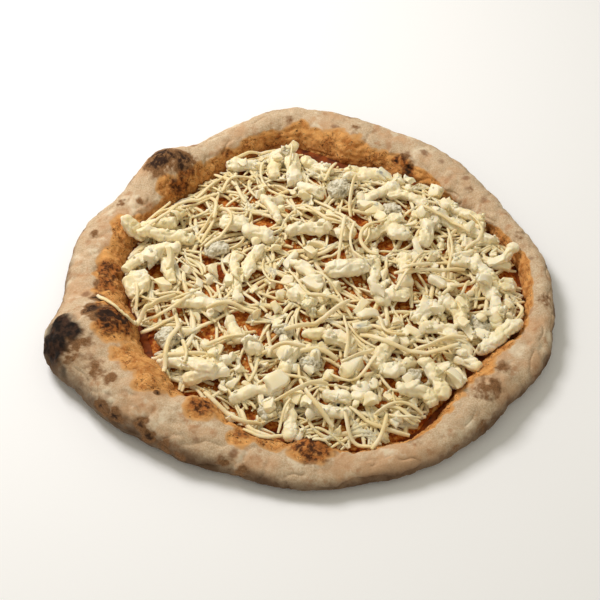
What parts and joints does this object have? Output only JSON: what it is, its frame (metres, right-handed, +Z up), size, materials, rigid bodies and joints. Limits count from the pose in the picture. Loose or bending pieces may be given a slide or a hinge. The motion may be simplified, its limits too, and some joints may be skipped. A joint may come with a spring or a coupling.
{
  "type": "four cheese pizza",
  "caption": "Round hand-stretched pizza with a raised, blistered rim, tomato sauce, grated cheese, mozzarella strips and crumbled blue cheese.",
  "frame": {"origin": "centre of the bounding box's footprint, on the surface the pizza lies on", "axes": "+Z up; the charred bulge of the rim points to about -X, the picture was taken from -Y"},
  "size_m": [0.2956, 0.297, 0.0301],
  "materials": {
    "crust": "baked dough, floury and matt, with brown blisters and one charred bulge",
    "sauce": "baked tomato sauce, thin, moist and uneven",
    "grated_cheese": "unmelted grated cheese, pale yellow, satin",
    "mozzarella": "soft white cheese, creamy, satin with soft translucency",
    "blue_cheese": "crumbly off-white cheese with blue-green mould"
  },
  "bodies": {
    "root": {"crust": "crust", "sauce": "sauce", "grated_cheese": "grated_cheese", "mozzarella_01": "mozzarella", "mozzarella_02": "mozzarella", "mozzarella_03": "mozzarella", "mozzarella_04": "mozzarella", "mozzarella_05": "mozzarella", "mozzarella_06": "mozzarella", "mozzarella_07": "mozzarella", "mozzarella_08": "mozzarella", "mozzarella_09": "mozzarella", "mozzarella_10": "mozzarella", "mozzarella_11": "mozzarella", "mozzarella_12": "mozzarella", "mozzarella_13": "mozzarella", "mozzarella_14": "mozzarella", "mozzarella_15": "mozzarella", "mozzarella_16": "mozzarella", "mozzarella_17": "mozzarella", "mozzarella_18": "mozzarella", "mozzarella_19": "mozzarella", "mozzarella_20": "mozzarella", "mozzarella_21": "mozzarella", "mozzarella_22": "mozzarella", "mozzarella_23": "mozzarella", "mozzarella_24": "mozzarella", "mozzarella_25": "mozzarella", "mozzarella_26": "mozzarella", "mozzarella_27": "mozzarella", "mozzarella_28": "mozzarella", "mozzarella_29": "mozzarella", "mozzarella_30": "mozzarella", "mozzarella_31": "mozzarella", "mozzarella_32": "mozzarella", "mozzarella_33": "mozzarella", "mozzarella_34": "mozzarella", "mozzarella_35": "mozzarella", "mozzarella_36": "mozzarella", "mozzarella_37": "mozzarella", "mozzarella_38": "mozzarella", "mozzarella_39": "mozzarella", "mozzarella_40": "mozzarella", "mozzarella_41": "mozzarella", "mozzarella_42": "mozzarella", "mozzarella_43": "mozzarella", "mozzarella_44": "mozzarella", "mozzarella_45": "mozzarella", "mozzarella_46": "mozzarella", "mozzarella_47": "mozzarella", "mozzarella_48": "mozzarella", "blue_cheese_01": "blue_cheese", "blue_cheese_02": "blue_cheese", "blue_cheese_03": "blue_cheese", "blue_cheese_04": "blue_cheese", "blue_cheese_05": "blue_cheese", "blue_cheese_06": "blue_cheese", "blue_cheese_07": "blue_cheese", "blue_cheese_08": "blue_cheese", "blue_cheese_09": "blue_cheese"}
  },
  "joints": []
}
